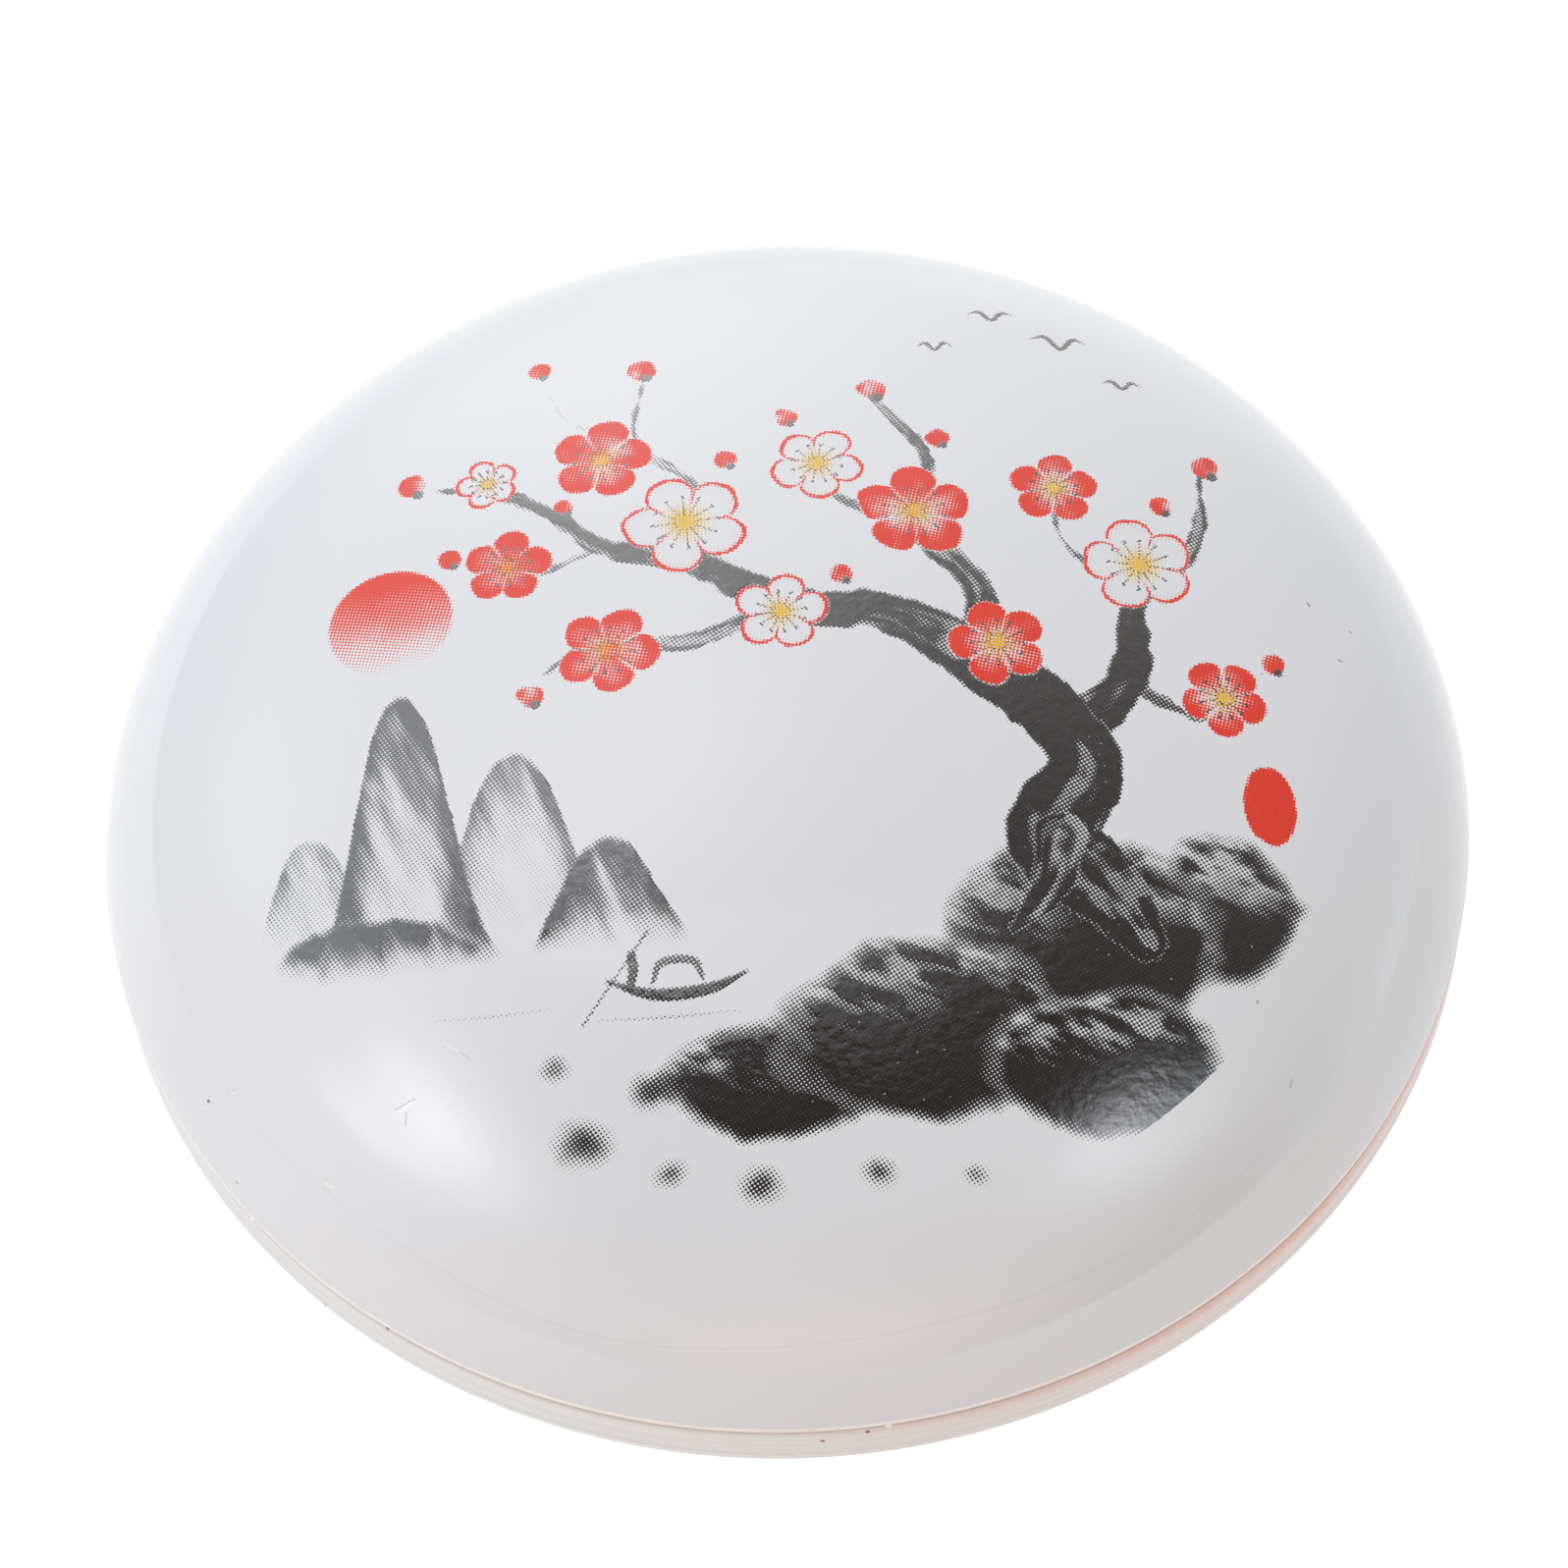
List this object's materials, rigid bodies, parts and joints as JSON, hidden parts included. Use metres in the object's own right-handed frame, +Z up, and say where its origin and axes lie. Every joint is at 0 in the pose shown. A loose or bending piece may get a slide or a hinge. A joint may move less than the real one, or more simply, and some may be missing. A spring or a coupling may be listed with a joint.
{
  "type": "seal paste box",
  "caption": "Round porcelain box for red seal paste: a bowl on a foot ring holding a domed pat of paste, closed by a crowned lid that drops over the bowl's lip.",
  "frame": {"origin": "middle of the foot ring's face, on the surface the box stands on", "axes": "+Z up along the box's axis of revolution; the picture on the lid is upright as seen from -Y"},
  "size_m": [0.092, 0.092, 0.0349],
  "materials": {
    "porcelain_base": "gloss glaze outside and in, bare and stained at the joint and foot ring",
    "porcelain_lid": "gloss glaze with a fired ink-wash decal, bare on the rim",
    "paste": "oily red paste, semi-gloss"
  },
  "bodies": {
    "base": {"base": "porcelain_base", "seal_paste": "paste"},
    "lid": {"lid": "porcelain_lid"}
  },
  "joints": [
    {"name": "lid_lift", "type": "slide", "parent": "base", "child": "lid", "axis": [0, 0, 1], "range_m": [0, 0.06]}
  ]
}
